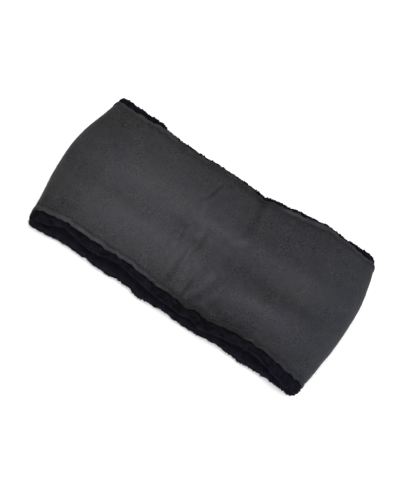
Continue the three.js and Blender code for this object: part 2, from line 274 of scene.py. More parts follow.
# Creases in the upper layer: from and to in shares of half the length and width, the bow of
# the line to its left as a share of its length, the depth as a share of the crease depth,
# below zero for a ridge, and the reach as a share of the crease reach. A crease fades out at
# its ends, and the cloth beside it is pushed up to its shoulders.
CREASE_ROWS = (
    (0.140, 1.50, 0.184, 0.22, 0.02, 0.30, 0.62),
    (0.120, -1.50, 0.160, -0.45, 0.04, 0.30, 0.65),
    (-0.104, 0.84, -0.152, 0.42, 0.06, 0.20, 0.26),
    (-0.134, 0.46, -0.106, 0.10, 0.04, -0.15, 0.34),
    (-0.225, 0.08, -0.145, -0.08, 0.00, 0.28, 0.90),
    (-0.076, 0.26, -0.054, -0.14, 0.00, -0.20, 0.42),
    (-0.146, 0.02, -0.151, -0.32, 0.05, 0.14, 0.22),
    (-0.090, -0.12, 0.020, -0.20, 0.05, 0.14, 0.60),
    (-0.021, 0.02, -0.026, -0.36, 0.03, 0.14, 0.24),
    (-0.056, -0.27, -0.048, -0.53, 0.00, -0.36, 0.18),
    (-0.172, -0.33, -0.150, -0.44, 0.00, -0.30, 0.28),
    (-0.078, -0.40, -0.062, -0.98, -0.03, 0.24, 0.38),
    (-0.020, -0.50, 0.010, -0.98, 0.02, -0.18, 0.45),
    (0.062, -0.60, 0.046, -1.04, -0.03, 0.20, 0.28),
    (0.132, -0.34, 0.106, -0.86, 0.05, -0.30, 0.55),
    (0.230, -0.36, 0.140, -1.02, 0.06, -0.12, 0.42),
    (0.190, -0.80, 0.290, -0.70, 0.00, 0.12, 0.75),
    (0.214, 0.27, 0.118, 0.10, 0.00, -0.26, 0.44),
    (0.172, 0.00, 0.180, -0.32, 0.00, 0.10, 0.60),
    (0.100, 0.84, 0.124, 0.26, 0.00, 0.16, 0.70),
    (-0.080, 0.20, 0.150, 0.20, 0.00, -0.16, 0.55),
    (0.240, -0.12, 0.860, -0.17, -0.02, 0.17, 1.15),
    (0.245, -0.54, 0.700, -0.50, 0.04, -0.20, 0.90),
    (0.220, -0.90, 0.560, -0.88, 0.03, 0.24, 0.70),
    (-0.440, -0.38, -0.200, -0.38, 0.04, -0.16, 0.95),
)

# How high the shoulders are, as a share of the crease, and where they stand, in its reaches.
# Then how far the creases wander, and over what distance.
SHOULDER = 0.3
SHOULDER_PLACE = 1.5
CREASE_WANDER = 1.1 * MM
WANDER_SPACING = 13 * MM

# Strokes of painted light and shade round the creases: as in the creases' table, but with how
# much the painted light rises in place of the depth
PAINTED_STROKE_ROWS = (
    (0.126, -0.92, 0.186, -0.72, 0.00, 0.38, 0.36),
    (0.230, -0.30, 0.216, -0.70, 0.00, -0.18, 0.24),
    (0.240, -0.92, 0.300, -0.90, 0.00, 0.30, 0.45),
    (0.158, -0.46, 0.170, -0.64, 0.00, 0.15, 0.35),
    (-0.048, -0.31, -0.046, -0.50, 0.00, 0.42, 0.19),
    (-0.066, -0.50, -0.060, -0.86, 0.00, -0.10, 0.20),
    (0.060, -0.60, 0.050, -0.90, 0.00, -0.08, 0.20),
    (-0.166, -0.37, -0.118, -0.37, 0.00, 0.10, 0.50),
    (-0.158, -0.35, -0.148, -0.41, 0.00, 0.34, 0.24),
    (-0.058, -0.26, -0.010, -0.28, 0.00, -0.15, 0.35),
    (-0.350, -0.24, -0.280, -0.24, 0.00, 0.16, 0.90),
    (-0.184, 0.17, -0.160, 0.11, 0.00, -0.22, 0.60),
    (0.122, 0.22, 0.164, 0.28, 0.00, 0.28, 0.35),
    (0.182, 0.13, 0.230, 0.10, 0.00, 0.15, 0.45),
)

# Painted light and shade on the upper layer along the band: its level, how much its form changes
# it, and how much painted light or shade its hems get
PAINTED_LIGHT_COLUMNS = ("along", "body", "form", "near_hem", "far_hem")
PAINTED_LIGHT_ROWS = (
    (-1.00, 0.17, 0.30, 0.20, 0.00),
    (-0.86, 0.26, 0.42, 0.40, 0.05),
    (-0.68, 0.60, 0.80, 0.45, 0.05),
    (-0.50, 0.72, 1.00, 0.30, -0.20),
    (-0.20, 0.68, 1.00, 0.20, -0.30),
    (0.02, 0.55, 1.00, -0.30, -0.40),
    (0.14, 0.44, 1.00, -0.75, -0.75),
    (0.24, 0.36, 1.00, -0.30, -0.40),
    (0.34, 0.36, 1.00, -0.42, 0.20),
    (0.60, 0.38, 1.00, -0.02, 0.15),
    (0.80, 0.27, 0.40, -0.14, -0.05),
    (1.00, 0.24, 0.25, 0.00, -0.10),
)

# How much painted light or shade lies across the band, in its left and right halves, and
# where along the band the one begins to give way to the other and has done so
HALVES_MEET = (-0.1, 0.25)
ACROSS_LIGHT_COLUMNS = ("across", "left", "right")
ACROSS_LIGHT_ROWS = (
    (-1.00, -0.30, -0.22),
    (-0.90, -0.26, -0.20),
    (-0.74, -0.16, -0.15),
    (-0.64, -0.08, -0.05),
    (-0.52, 0.00, -0.06),
    (-0.38, 0.10, -0.04),
    (-0.24, 0.04, 0.02),
    (-0.05, -0.04, -0.04),
    (0.08, -0.08, -0.07),
    (0.20, -0.05, 0.05),
    (0.33, -0.08, -0.12),
    (0.46, -0.16, -0.10),
    (0.62, -0.25, -0.04),
    (0.80, -0.20, 0.02),
    (1.00, -0.16, 0.06),
)

# The fleece's edge in section: the place as a share of the hem's width inwards from the
# edge, then shares of the hem's rise, the stitch depth and the thickness.
FLEECE_EDGE = (
    (0.08, 0.0, 0.0, 1.0),
    (0.00, 0.0, 0.0, 0.5),
    (0.12, 0.4, 0.0, 0.1),
    (0.36, 1.0, 0.0, 0.0),
    (0.64, 0.9, 0.0, 0.0),
    (0.86, 0.3, 0.5, 0.0),
    (1.03, 0.0, 1.0, 0.0),
    (1.24, 0.0, 0.7, 0.0),
    (1.65, 0.0, 0.1, 0.0),
)

# Where the lip begins to sink and the row of stitches runs, as shares of the hem's width
LIP_END = 0.75
STITCH_ROW = 1.03

# A strand from its root to its tip: the place along it and its radius. A raised fibre is a
# plain cone, and a lock of pile is thickest near its middle.
FIBRE_RINGS = ((0, 1.0),)
LOCK_RINGS = ((0, 0.8), (0.45, 1.0), (0.8, 0.62))

# The plush roll in section, from the fleece round to the hollow: shares of its reach past
# the clearance, and of its thickness from outer to inner face.
PLUSH_ROLL = (
    (0.00, 0.20),
    (0.10, 0.06),
    (0.38, 0.00),
    (0.72, 0.10),
    (0.95, 0.33),
    (1.00, 0.56),
    (0.88, 0.82),
    (0.58, 0.98),
    (0.20, 1.00),
)


def curve_through(places, values):
    """A smooth curve through a table's column. Its slope at each row is the mean of those beside it."""
    places, values = np.array(places, float), np.array(values, float)
    slopes = np.diff(values) / np.diff(places)
    tangents = np.concatenate(([slopes[0]], (slopes[1:] + slopes[:-1]) / 2, [slopes[-1]]))

    def follow(place):
        at = np.clip(place, places[0], places[-1])
        row = np.clip(np.searchsorted(places, at, side="right") - 1, 0, len(places) - 2)
        step = places[row + 1] - places[row]
        t = (at - places[row]) / step
        return (
            values[row] * (1 + 2 * t) * (1 - t) ** 2
            + values[row + 1] * t * t * (3 - 2 * t)
            + tangents[row] * step * t * (1 - t) ** 2
            - tangents[row + 1] * step * t * t * (1 - t)
        )

    return follow


def column_curves(columns, rows):
    """One curve for each column of a table, over its first column."""
    table = dict(zip(columns, zip(*rows)))
    places = table[columns[0]]
    return {name: curve_through(places, table[name]) for name in columns[1:]}


upper = column_curves(UPPER_COLUMNS, UPPER_ROWS)
lower = column_curves(LOWER_COLUMNS, LOWER_ROWS)
across_band = column_curves(ACROSS_COLUMNS, ACROSS_ROWS)
painted_light_along = column_curves(PAINTED_LIGHT_COLUMNS, PAINTED_LIGHT_ROWS)
across_light = column_curves(ACROSS_LIGHT_COLUMNS, ACROSS_LIGHT_ROWS)


def smooth_step(value, low, high):
    t = np.clip((value - low) / (high - low), 0, 1)
    return t * t * (3 - 2 * t)


def signed_power(value, power):
    return np.sign(value) * np.abs(value) ** power


def loop_path(count, closeness=1):
    """The fleece's outer face in profile, as stations round the loop. Its turns are superellipses."""
    run = np.linspace(-STRAIGHT_HALF, STRAIGHT_HALF, STRAIGHT_SAMPLES, endpoint=False)
    angle = np.linspace(-math.pi / 2, math.pi / 2, TURN_SAMPLES, endpoint=False)
    fold_x = signed_power(np.cos(angle), 2 / FOLD_SQUARENESS)
    fold_z = signed_power(np.sin(angle), 2 / FOLD_SQUARENESS)
    out_x = signed_power(fold_x, FOLD_SQUARENESS - 1)
    out_z = signed_power(fold_z, FOLD_SQUARENESS - 1)
    size = np.hypot(out_x, out_z)
    none, one = np.zeros_like(run), np.ones_like(run)
    fold_reach = STRAIGHT_HALF + TURN_RADIUS * fold_x
    x = np.concatenate((run, fold_reach, -run, -fold_reach))
    z = np.concatenate((none, TURN_RADIUS * (1 + fold_z), FOLD_HEIGHT * one, TURN_RADIUS * (1 - fold_z)))
    normal_x = np.concatenate((none, out_x / size, none, -out_x / size))
    normal_z = np.concatenate((-one, out_z / size, one, -out_z / size))
    gaps = np.hypot(np.roll(x, -1) - x, np.roll(z, -1) - z)
    top = smooth_step(z, 0, FOLD_HEIGHT)
    far = np.concatenate(([0], np.cumsum(gaps)))
    steps = np.concatenate(([0], np.cumsum(gaps * (1 + (closeness - 1) * top))))
    wanted = np.arange(count) * steps[-1] / count

    def at_stations(values):
        return np.interp(wanted, steps, np.append(values, values[0]))[:, None]

    path = {"x": at_stations(x), "z": at_stations(z)}
    path["out_x"], path["out_z"] = at_stations(normal_x), at_stations(normal_z)
    path["far"] = np.interp(wanted, steps, far)[:, None]
    path["length"] = far[-1]
    path["top"] = smooth_step(path["z"], 0, FOLD_HEIGHT)
    path["seam"] = np.exp(-((path["x"] / (SEAM_WIDTH / 2)) ** 2) * 2) * (path["z"] < TURN_RADIUS)
    return path


def edge_value(path, name):
    """Blends from the lower layer's row to the upper layer's round the folds."""
    along = path["x"] / HALF_LENGTH
    return lower[name](along) * (1 - path["top"]) + upper[name](along) * path["top"]


def hems_of(path):
    shift = LAYER_SHIFT * (1 - path["top"])
    near = -HALF_WIDTH - shift - EDGE_WANDER * edge_value(path, "near_hem")
    far = HALF_WIDTH - shift + EDGE_WANDER * edge_value(path, "far_hem")
    return near, far


def stroke_field(x, y, rows, shoulder):
    """How strongly a table's strokes act at each place, with what they push up beside them."""
    field = np.zeros(np.broadcast(x, y).shape)
    for from_x, from_y, to_x, to_y, bow, share, reach in rows:
        start = np.array((from_x * HALF_LENGTH, from_y * HALF_WIDTH))
        span = np.array((to_x * HALF_LENGTH, to_y * HALF_WIDTH)) - start
        length = np.hypot(*span)
        ahead = ((x - start[0]) * span[0] + (y - start[1]) * span[1]) / length
        aside = ((y - start[1]) * span[0] - (x - start[0]) * span[1]) / length
        t = np.clip(ahead / length, 0, 1)
        away = np.hypot(ahead - t * length, aside - bow * length * 4 * t * (1 - t)) / (reach * CREASE_REACH)
        fading = 1 - (2 * t - 1) ** 4
        pushed_up = shoulder * np.exp(-2 * (away - SHOULDER_PLACE) ** 2)
        field += share * fading * (np.exp(-2 * away * away) - pushed_up)
    return field


def wandered(x, y):
    """Places beside x and y, by which the creases run a little out of line."""
    spots = np.stack((x * np.ones_like(y), y, np.zeros_like(y)), axis=-1)
    step = [CREASE_WANDER * noise_field(spots, WANDER_SPACING, seed) for seed in WANDER_SEEDS]
    return x + step[0], y + step[1]


def place(path, y, depth):
    """Puts the points of each section at their places. depth runs inwards from the fleece's outer face."""
    x = path["x"]
    across = y / HALF_WIDTH
    pressed = CREASE_DEPTH * stroke_field(*wandered(x, y), CREASE_ROWS, SHOULDER)
    inset = END_INSET * np.where(x < 0, across_band["left_inset"](across), across_band["right_inset"](across))
    fade = 1 - smooth_step(np.abs(x), STRAIGHT_HALF - FADE_REACH, HALF_LENGTH)
    lift = LOFT * upper["rise"](x / HALF_LENGTH) + CROWN_HEIGHT * across_band["crown"](across)
    placed_x = (x - path["out_x"] * depth) * (1 - inset / HALF_LENGTH)
    placed_z = path["z"] - path["out_z"] * depth + path["top"] * fade * (lift - pressed)
    return np.stack((placed_x, np.broadcast_to(y, placed_x.shape), placed_z), axis=-1)


def rounded(points, per_step):
    """Extra points between a section table's rows, on a smooth curve."""
    rows = np.array(points, float)
    at = np.arange(len(rows))
    fine = np.linspace(0, len(rows) - 1, (len(rows) - 1) * per_step + 1)
    return np.stack([curve_through(at, rows[:, column])(fine) for column in range(rows.shape[1])], axis=1)


def unit(vectors):
    return vectors / np.maximum(np.linalg.norm(vectors, axis=-1, keepdims=True), 1e-12)


def grid_normals(points):
    """The outward direction at each point of a loop of sections."""
    along = np.roll(points, -1, axis=0) - np.roll(points, 1, axis=0)
    around = np.roll(points, -1, axis=1) - np.roll(points, 1, axis=1)
    return unit(np.cross(around, along))


# How far a seed moves the noise along each axis, and how far the rounded tufts reach
NOISE_SHIFT = (17.3, 5.1, 9.7)
NUB_SHIFT = (3.7, 8.9, 2.3)
NUB_REACH = 0.85


def noise_field(points, spacing, seed):
    """Smooth noise, about -1 to 1, with lumps about as far apart as spacing."""
    shift = Vector([seed * step for step in NOISE_SHIFT])
    flat = points.reshape(-1, 3) / spacing
    values = [noise.noise(Vector(point) + shift) for point in flat]
    return np.array(values).reshape(points.shape[:-1])


def nub_field(points, spacing, seed):
    """Rounded tufts, 0 between them and 1 on top."""
    shift = Vector([seed * step for step in NUB_SHIFT])
    flat = points.reshape(-1, 3) / spacing
    away = np.array([noise.voronoi(Vector(point) + shift)[0][0] for point in flat])
    return np.sqrt(np.clip(1 - (away / NUB_REACH) ** 2, 0, 1)).reshape(points.shape[:-1])


def new_piece(name, points, faces, material):
    """A smooth mesh object of one material."""
    mesh = bpy.data.meshes.new(name)
    mesh.from_pydata(points.reshape(-1, 3).tolist(), [], faces)
    mesh.materials.append(material)
    mesh.polygons.foreach_set("use_smooth", [True] * len(mesh.polygons))
    mesh.update()
    piece = bpy.data.objects.new(name, mesh)
    bpy.context.scene.collection.objects.link(piece)
    return piece


def loop_mesh(name, points, material):
    """A closed loop of closed sections as one smooth mesh object."""
    rings, count = points.shape[:2]
    ring, point = np.meshgrid(np.arange(rings), np.arange(count), indexing="ij")
    after, ahead = (point + 1) % count, (ring + 1) % rings
    faces = np.stack(
        (ring * count + point, ring * count + after, ahead * count + after, ahead * count + point), axis=-1
    )
    return new_piece(name, points, faces.reshape(-1, 4).tolist(), material)


def set_nap_and_painted_light(piece, nap_and_painted_light):
    """Keeps the nap with its painted light and shade on the mesh, for its material."""
    layer = piece.data.attributes.new("nap_and_painted_light", "FLOAT", "POINT")
    layer.data.foreach_set("value", np.clip(nap_and_painted_light, DEEPEST_PAINTED_SHADE, 1).ravel())


def taken_shape(piece):
    """The points and faces of a helper object, which is removed."""
    base = np.array([vertex.co[:] for vertex in piece.data.vertices])
    faces = [list(face.vertices) for face in piece.data.polygons]
    bpy.data.objects.remove(piece)
    return base, faces


def cone_pattern(sides, rings):
    """A closed cone, from a base at 0 to a tip at 1 along X, its rings given as place and radius."""
    bpy.ops.mesh.primitive_cone_add(vertices=sides, radius1=rings[0][1], radius2=0, depth=1)
    cone = bpy.context.object
    turn = Matrix.Rotation(math.pi / 2, 4, "Y") @ Matrix.Translation((0, 0, 0.5))
    cone.data.transform(turn)
    shape = bmesh.new()
    shape.from_mesh(cone.data)
    for place_on, radius in rings[1:]:
        whole = shape.verts[:] + shape.edges[:] + shape.faces[:]
        cut = bmesh.ops.bisect_plane(shape, geom=whole, plane_co=(place_on, 0, 0), plane_no=(1, 0, 0))
        for part in cut["geom_cut"]:
            if isinstance(part, bmesh.types.BMVert):
                part.co.yz = part.co.yz.normalized() * radius
    shape.to_mesh(cone.data)
    shape.free()
    return taken_shape(cone)


def scattered(name, pattern, centres, along, side, up, material):
    """Copies of one small shape as a joined mesh. along, side and up hold each copy's axes and sizes."""
    base, faces = pattern
    points = (
        centres[:, None]
        + base[None, :, 0:1] * along[:, None]
        + base[None, :, 1:2] * side[:, None]
        + base[None, :, 2:3] * up[:, None]
    )
    points[..., 2] = np.maximum(points[..., 2], 0)
    starts = np.arange(len(centres)) * len(base)
    polygons = [[corner + start for corner in face] for start in starts.tolist() for face in faces]
    return new_piece(name, points, polygons, material)


def set_copies_nap_and_painted_light(piece, nap_and_painted_light):
    """Keeps the nap with its painted light and shade on a joined mesh of copies, with one value for each
    copy.
    """
    set_nap_and_painted_light(piece, np.repeat(nap_and_painted_light, len(piece.data.vertices) // len(nap_and_painted_light)))


def frame_shift():
    """From the band's own middle to the CAD frame's origin, at the middle of its underside."""
    path = loop_path(PLUSH_STEPS)
    near, far = hems_of(path)
    near = near - ROLL_REACH * edge_value(path, "near_roll")
    far = far + ROLL_REACH * edge_value(path, "far_roll")
    return np.array((0, -(near.min() + far.max()) / 2, 0))


# Materials


def linear(hex_colour):
    """An sRGB hex colour as linear red, green, blue and alpha."""
    parts = [int(hex_colour[at:at + 2], 16) / 255 for at in (1, 3, 5)]
    light = [part / 12.92 if part <= 0.04045 else ((part + 0.055) / 1.055) ** 2.4 for part in parts]
    return (*light, 1)


def add_node(material, kind, inputs, **settings):
    """Adds a node with its settings. inputs gives each socket its value or the socket that feeds it."""
    node = material.node_tree.nodes.new(kind)
    for name, value in settings.items():
        setattr(node, name, value)
    for name, value in inputs.items():
        if isinstance(value, bpy.types.NodeSocket):
            material.node_tree.links.new(value, node.inputs[name])
        else:
            node.inputs[name].default_value = value
    return node


# The places of a Mix node's colour sockets, whose names repeat
FIRST_COLOUR = 6
SECOND_COLOUR = 7
MIXED_COLOUR = 2


def new_material(name, settings):
    """A material with its shader's constant values set on the shader's own sockets."""
    material = bpy.data.materials.new(name)
    material.use_nodes = True
    shader = material.node_tree.nodes["Principled BSDF"]
    for socket, value in settings.items():
        shader.inputs[socket].default_value = value
    return material, shader


# Where most values of the fibre's and the mottle's noise lie, where most of the tangle's do,
# and how much of the speckle shows from the smoothest patches to the most tangled
MOST_NOISE = (0.3, 0.7)
MOST_TANGLE = (0.35, 0.65)
TANGLED_SPECKLE = (0.4, 1.6)


def pile_lightness(material, place_on, fibre, speckle, mottle, mottle_spacing):
    """The nap with its painted light and shade, made uneven by a fine speckle, stronger in tangled
    patches, and a soft mottle.
    """
    lightness = add_node(material, "ShaderNodeAttribute", {}, attribute_name="nap_and_painted_light").outputs["Fac"]
    cloud = add_node(
        material, "ShaderNodeTexNoise",
        {"Vector": place_on, "Scale": 1 / mottle_spacing, "Detail": 3, "Roughness": 0.6},
    ).outputs["Fac"]
    tangled = add_node(
        material, "ShaderNodeTexNoise",
        {"Vector": place_on, "Scale": 1 / TANGLE_PATCHES, "Detail": 1, "W": TANGLE_SEED},
        noise_dimensions="4D",
    ).outputs["Fac"]
    (low, high), (least, most) = MOST_TANGLE, TANGLED_SPECKLE
    depth = add_node(
        material, "ShaderNodeMapRange",
        {"Value": tangled, "From Min": low, "From Max": high, "To Min": least, "To Max": most},
    ).outputs["Result"]
    low, high = MOST_NOISE
    for pattern, share, factor in ((fibre, speckle, depth), (cloud, mottle, 1)):
        uneven = add_node(
            material, "ShaderNodeMapRange",
            {"Value": pattern, "From Min": low, "From Max": high, "To Min": -share, "To Max": share},
        ).outputs["Result"]
        lightness = add_node(
            material, "ShaderNodeMath", {0: uneven, 1: factor, 2: lightness}, operation="MULTIPLY_ADD"
        ).outputs["Value"]
    return lightness


def place_along(material, place_on):
    """How far along the band each point is, from 0 at its left end to 1 at its right one."""
    along = add_node(material, "ShaderNodeSeparateXYZ", {"Vector": place_on}).outputs["X"]
    return add_node(
        material, "ShaderNodeMapRange", {"Value": along, "From Min": -HALF_LENGTH, "From Max": HALF_LENGTH}
    ).outputs["Result"]


def tinted(material, colour, value, rows):
    """The colour, multiplied by the one that the rows of a ramp give for the value."""
    ramp = add_node(material, "ShaderNodeValToRGB", {"Fac": value})
    stops = ramp.color_ramp.elements
    for place_in, _ in rows[1:-1]:
        stops.new(place_in)
    for stop, (place_in, tint) in zip(stops, rows):
        stop.position = place_in
        stop.color = linear(tint)
    return add_node(
        material, "ShaderNodeMix", {"Factor": 1, FIRST_COLOUR: colour, SECOND_COLOUR: ramp.outputs["Color"]},
        data_type="RGBA", blend_type="MULTIPLY",
    ).outputs[MIXED_COLOUR]


def brushed_fleece():
    """Polyester fleece, knitted, its pile raised by brushing: matt, with a fine speckle of raised fibre,
    and with painted light and shade that follow its form, darkest in the creases."""
    material, shader = new_material(
        "brushed_polyester_fleece",
        {
            "Roughness": 1.0, "Specular IOR Level": 0.15,
            "Sheen Weight": 0.12, "Sheen Roughness": 0.5, "Sheen Tint": linear("#b4b8c0"),
        },
    )
    place_on = add_node(material, "ShaderNodeTexCoord", {}).outputs["Object"]
    fibre = add_node(
        material, "ShaderNodeTexNoise",
        {"Vector": place_on, "Scale": 1 / FLEECE_FIBRE, "Detail": 2, "Roughness": 0.6},
    ).outputs["Fac"]
    lightness = pile_lightness(material, place_on, fibre, speckle=0.34, mottle=0.1, mottle_spacing=7 * MM)
    lit_share = add_node(
        material, "ShaderNodeMapRange", {"Value": lightness, "From Min": DEEPEST_PAINTED_SHADE, "From Max": 1}
    ).outputs["Result"]
    colour = add_node(
        material, "ShaderNodeMix",
        {"Factor": lit_share, FIRST_COLOUR: linear(FLEECE_SHADED), SECOND_COLOUR: linear(FLEECE_LIT)},
        data_type="RGBA",
    ).outputs[MIXED_COLOUR]
    colour = tinted(material, colour, place_along(material, place_on), DRIFT_ROWS)
    patches = add_node(
        material, "ShaderNodeTexNoise",
        {"Vector": place_on, "Scale": 1 / HUE_PATCHES, "Detail": 2, "W": HUE_SEED}, noise_dimensions="4D",
    ).outputs["Fac"]
    colour = tinted(material, colour, patches, HUE_ROWS)
    bump = add_node(
        material, "ShaderNodeBump", {"Strength": 0.6, "Distance": 0.25 * MM, "Height": fibre}
    ).outputs["Normal"]
    material.node_tree.links.new(colour, shader.inputs["Base Color"])
    material.node_tree.links.new(bump, shader.inputs["Normal"])
    return material


def black_plush():
    """Short polyester plush: near black, its tufts catching a soft bluish sheen on their tips, with
    painted light and shade on its rims, hollow and tufts.
    """
    material, shader = new_material(
        "black_polyester_plush",
        {
            "Roughness": 1.0, "Specular IOR Level": 0.04,
            "Sheen Weight": 0.06, "Sheen Roughness": 0.35, "Sheen Tint": linear("#87839c"),
        },
    )
    place_on = add_node(material, "ShaderNodeTexCoord", {}).outputs["Object"]
    fibre = add_node(
        material, "ShaderNodeTexNoise",
        {"Vector": place_on, "Scale": 1 / PLUSH_FIBRE, "Detail": 3, "Roughness": 0.6},
    ).outputs["Fac"]
    lightness = pile_lightness(material, place_on, fibre, speckle=0.12, mottle=0.07, mottle_spacing=9 * MM)
    colour = add_node(
        material, "ShaderNodeMix",
        {"Factor": lightness, FIRST_COLOUR: linear(PLUSH_SHADED), SECOND_COLOUR: linear(PLUSH_LIT)},
        data_type="RGBA",
    ).outputs[MIXED_COLOUR]
    colour = tinted(material, colour, place_along(material, place_on), PLUSH_DRIFT_ROWS)
    bump = add_node(
        material, "ShaderNodeBump", {"Strength": 0.8, "Distance": 0.4 * MM, "Height": fibre}
    ).outputs["Normal"]
    material.node_tree.links.new(colour, shader.inputs["Base Color"])
    material.node_tree.links.new(bump, shader.inputs["Normal"])
    return material


def sewing_thread():
    """Spun polyester thread, dyed to match the fleece: matt and slightly darker."""
    material, shader = new_material("spun_polyester_thread", {"Roughness": 0.9, "Sheen Weight": 0.05})
    place_on = add_node(material, "ShaderNodeTexCoord", {}).outputs["Object"]
    ply = add_node(
        material, "ShaderNodeTexNoise", {"Vector": place_on, "Scale": 1 / THREAD_PLY}
    ).outputs["Fac"]
    colour = add_node(
        material, "ShaderNodeMix",
        {"Factor": ply, FIRST_COLOUR: linear("#1b1c1f"), SECOND_COLOUR: linear("#26272a")},
        data_type="RGBA",
    ).outputs[MIXED_COLOUR]
    material.node_tree.links.new(colour, shader.inputs["Base Color"])
    return material


def white_studio_paper():
    """Matt white paper, rolled out under the headband."""
    material, _ = new_material("white_studio_paper", {"Base Color": linear("#ffffff"), "Roughness": 0.9})
    return material


# Pieces


def along_path(path, spacing, seed):
    """Smooth noise along the loop, the same right across the band."""
    spots = np.concatenate((path["far"], np.zeros_like(path["far"]), np.zeros_like(path["far"])), axis=1)
    return noise_field(spots, spacing, seed)[:, None]


def rippled_hems(path):
    """The fleece's hems, which the stitches draw into small ripples."""
    near, far = hems_of(path)
    near_ripple, far_ripple = (RIPPLE_DEPTH * along_path(path, RIPPLE_PITCH, seed) for seed in RIPPLE_SEEDS)
    return near + near_ripple, far + far_ripple


# Points across each section: how many for each row of an edge's table, and the fleece's body
# and inner face as shares of its width
POINTS_PER_ROW = 3
FLEECE_BODY = np.linspace(0.075, 0.925, 70)
FLEECE_INNER = np.linspace(0.94, 0.06, 14)

# The points from the fleece's edge over which its pile begins, and the share of the upper
# layer's pile that the lower one has
PILE_BEGINS = (0, 4)
LOWER_PILE = 0.3


def outer_shell(shift, material):
    """The fleece band with its turned hems, puckers, creases and raised pile, and its painted light and
    shade.
    """
    path = loop_path(FLEECE_STEPS, UPPER_CLOSENESS)
    near, far = rippled_hems(path)
    width = far - near
    seam = SEAM_DEPTH * path["seam"]
    edge = rounded(FLEECE_EDGE, POINTS_PER_ROW)
    inwards = edge[:, 0] * HEM_WIDTH
    depth = edge[:, 3] * FLEECE_THICKNESS + edge[:, 2] * STITCH_DEPTH - edge[:, 1] * HEM_RISE * path["top"]
    body, inner = FLEECE_BODY, FLEECE_INNER
    across = (near + inwards, near + body * width, far - inwards[::-1], near + inner * width)
    y = np.concatenate(across, axis=1)
    depths = (depth, seam + 0 * body, depth[:, ::-1], FLEECE_THICKNESS + seam + 0 * inner)
    points = place(path, y, np.concatenate(depths, axis=1))
    rounding = smooth_step(np.arange(len(inwards)), *PILE_BEGINS)
    outside = np.concatenate((rounding, np.ones(len(body)), rounding[::-1], np.zeros(len(inner))))
    from_edge = np.minimum(y - near, far - y)
    pucker_fade = np.exp(-((from_edge - HEM_WIDTH) / PUCKER_REACH) ** 2)
    # Each hem has noise of its own, a folded length away from the other's
    side = np.where(y < (near + far) / 2, 1.0, 2.0)
    along_hem = np.stack((path["far"] * np.ones_like(y), side * FOLDED_LENGTH, np.zeros_like(y)), axis=-1)
    pucker = noise_field(along_hem, PUCKER_PITCH, PUCKER_SEED) * PUCKER_DEPTH * pucker_fade
    sag = noise_field(points, SAG_SPACING, SAG_SEED) * SAG_DEPTH
    points = points + grid_normals(points) * (outside * path["top"] * (pucker + sag))[..., None]

    normals = grid_normals(points)
    nap_and_painted_light = fleece_painted_light(path, y, normals, edge)
    pile = noise_field(points, PILE_SPACING, PILE_SEED) * PILE_DEPTH
    height = outside * np.clip(path["top"] + LOWER_PILE, 0, 1) * pile
    points = points + normals * height[..., None] + shift
    points[..., 2] = np.maximum(points[..., 2], 0)
    shell = loop_mesh("fleece_shell", points, material)
    set_nap_and_painted_light(shell, nap_and_painted_light)
    return shell, points, normals, outside * np.ones_like(nap_and_painted_light), nap_and_painted_light


def fleece_painted_light(path, y, normals, edge):
    """The painted light and shade at each point, with the nap: by its place, its lean, its creases
    and its hems.
    """
    along = path["x"] / HALF_LENGTH
    across = y / HALF_WIDTH
    spots = wandered(path["x"], y)
    # Painted light and shade in strokes round the creases, and painted shade in the creases themselves
    painted_strokes = stroke_field(*spots, PAINTED_STROKE_ROWS, 0) - CREASE_PAINTED_SHADE * stroke_field(*spots, CREASE_ROWS, SHOULDER)
    right = smooth_step(along, *HALVES_MEET)
    across_painted_light = across_light["left"](across) * (1 - right) + across_light["right"](across) * right
    # Painted light on the crowns
    crown = CROWN_PAINTED_LIGHT * (across_band["crown"](across) - CROWN_MIDDLE)
    # Painted light on the sides that lean towards the near right, painted shade on those that lean away
    lean = LEAN_PAINTED_LIGHT * np.clip(normals @ np.array(PAINTED_LIGHT_TOWARDS), -MOST_LEAN, MOST_LEAN)
    # Painted shade in the stitched groove
    lip, groove_shade = 1 - smooth_step(edge[:, 0], LIP_END, STITCH_ROW), GROOVE_PAINTED_SHADE * edge[:, 2]
    patches = HEM_PATCH_NAP * along_path(path, HEM_PATCHES, HEM_PATCH_SEED)
    # Painted light or shade on the hem lips, with random patches of tone
    near_edge = (painted_light_along["near_hem"](along) + patches) * lip - groove_shade
    far_edge = ((painted_light_along["far_hem"](along) + patches) * lip - groove_shade)[:, ::-1]
    body, inner = np.zeros((FLEECE_STEPS, len(FLEECE_BODY))), np.zeros((FLEECE_STEPS, len(FLEECE_INNER)))
    hem = np.concatenate((near_edge, body, far_edge, inner), axis=1)
    upper_nap = painted_light_along["body"](along) + painted_light_along["form"](along) * (crown + across_painted_light + lean) + painted_strokes + hem
    return (LOWER_NAP + lean) * (1 - path["top"]) + upper_nap * path["top"]


# Points across each section of the plush between its rolls, on its outer face and on its pile
# in the hollow, as shares of the fleece's width
PLUSH_OUTSIDE = np.linspace(0.06, 0.94, 8)
PLUSH_INSIDE = np.linspace(0.97, 0.03, 54)

# On a roll: the points over which its tufts begin, the row of its table where its painted rim
# highlight lies, how many points wide the rim is, and the depths in the table between which the
# hollow's painted light begins
TUFTS_BEGIN = (1, 6)
RIM_ROW = 4.7
RIM_WIDTH = 2
HOLLOW_BEGINS = (0.5, 0.95)

# The tufts' level at which the surface stays where it is, the rise above it at which the painted
# light on the tufts turns to painted shade, how strong the finer tufts are on them, and how far
# the pile stays off the floor
TUFT_LEVEL = 0.5
TUFT_LIGHT_LEVEL = 0.1
FINE_TUFT_SHARE = 0.2
FLOOR_CLEARANCE = 0.05 * MM


